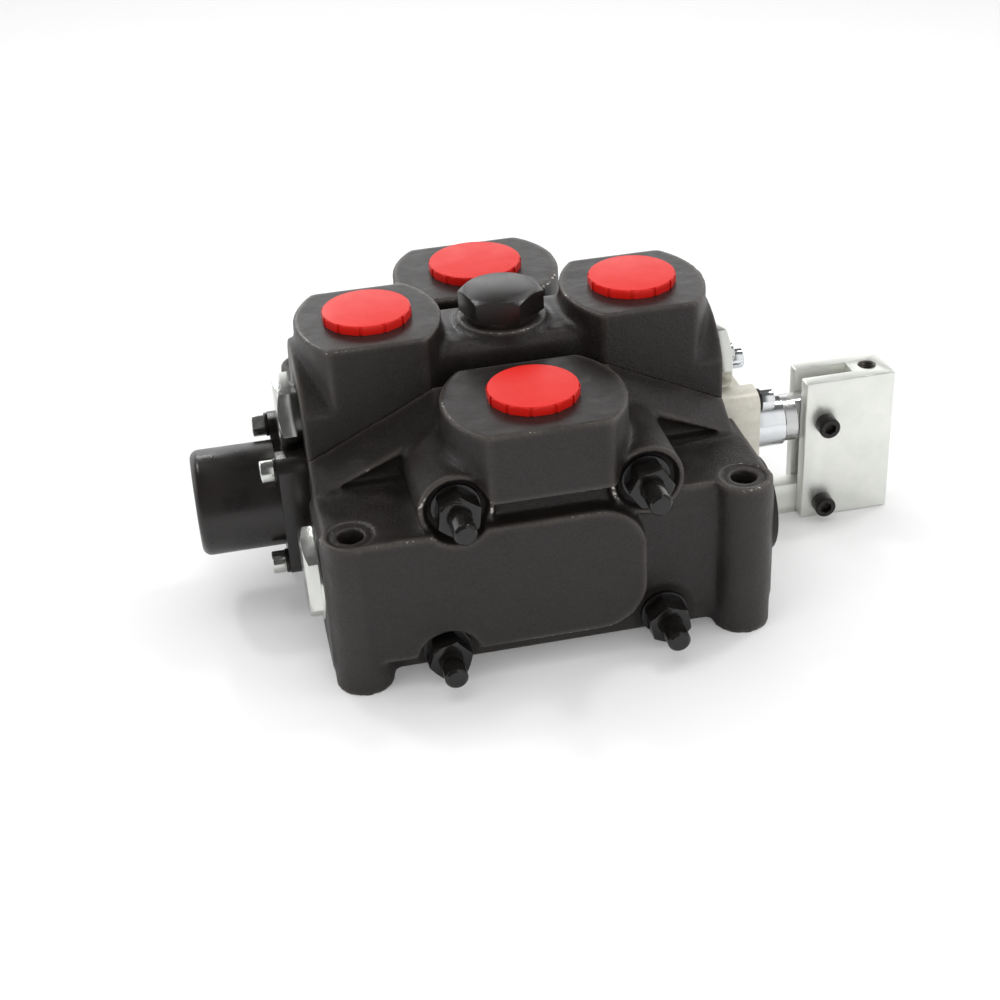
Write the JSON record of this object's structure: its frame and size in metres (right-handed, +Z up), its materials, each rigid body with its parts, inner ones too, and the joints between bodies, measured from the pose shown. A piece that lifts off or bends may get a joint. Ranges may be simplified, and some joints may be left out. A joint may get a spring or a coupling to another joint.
{
  "type": "sectional directional valve",
  "caption": "Sectional hydraulic directional valve with one spool, a lever linkage and red transit caps in the ports, held by tie rods.",
  "frame": {"origin": "centre of the four foot bolts on the base plane", "axes": "+X along the spool towards the lever, +Y from the inlet casting to the outlet casting, +Z up, the way the ports open"},
  "size_m": [0.3271, 0.217, 0.1368],
  "materials": {
    "casting": "satin charcoal paint",
    "black_steel": "black oxide",
    "zinc": "zinc plated",
    "chrome": "polished",
    "steel": "ground",
    "rubber": "matte",
    "red_plastic": "satin"
  },
  "bodies": {
    "valve_body": {"inlet_section": "casting", "outlet_section": "casting", "work_section": "casting", "load_check_plug": "casting", "spool_cap": "casting", "tie_rods": "black_steel", "tie_washers": "black_steel", "tie_nuts": "black_steel", "inlet_side_plug": "black_steel", "outlet_side_plugs": "black_steel", "link_pin": "black_steel", "cap_lock_washers": "black_steel", "retainer_washers": "black_steel", "cap_screws": "zinc", "port_relief_left": "zinc", "port_relief_right": "zinc", "relief_adjuster": "zinc", "inlet_relief_plug": "zinc", "retainer_plate": "zinc", "bonnet_collar": "chrome", "retainer_screws": "chrome", "spring_seat_ring": "steel", "centring_spring": "steel", "load_check_spring": "steel", "section_seals": "rubber", "spool_seals": "rubber", "wiper_ring": "rubber", "inlet_port_cap": "red_plastic", "outlet_port_cap": "red_plastic", "work_port_cap_left": "red_plastic", "work_port_cap_right": "red_plastic"},
    "spool_set": {"spool": "steel", "spool_end_seat": "steel", "spool_end_screw": "steel"},
    "link": {"fulcrum_link": "zinc"},
    "lever": {"lever_block": "zinc", "tongue_screw": "black_steel", "fulcrum_screw": "black_steel"},
    "poppet": {"load_check_poppet": "steel"}
  },
  "joints": [
    {"name": "spool_slide", "type": "slide", "parent": "valve_body", "child": "spool_set", "axis": [1, 0, 0], "range_m": [-0.0063, 0.0063], "stiffness_N_per_m": 6000, "deforming": ["centring_spring"]},
    {"name": "link_swing", "type": "hinge", "parent": "valve_body", "child": "link", "pos_m": [0.1186, 0, 0.0081], "axis": [0, -1, 0], "range_deg": [0, 0.9]},
    {"name": "lever_swing", "type": "hinge", "parent": "spool_set", "child": "lever", "pos_m": [0.1485, 0, 0.0512], "axis": [0, 1, 0], "range_deg": [-8.38, 8.38]},
    {"name": "check_lift", "type": "slide", "parent": "valve_body", "child": "poppet", "axis": [0, 0, 1], "range_m": [0, 0.004], "stiffness_N_per_m": 500, "springref_m": -0.004, "deforming": ["load_check_spring"]}
  ],
  "couplings": [
    {"joint": "lever_swing", "follows": "spool_slide", "rad_per_m": 23.202}
  ]
}
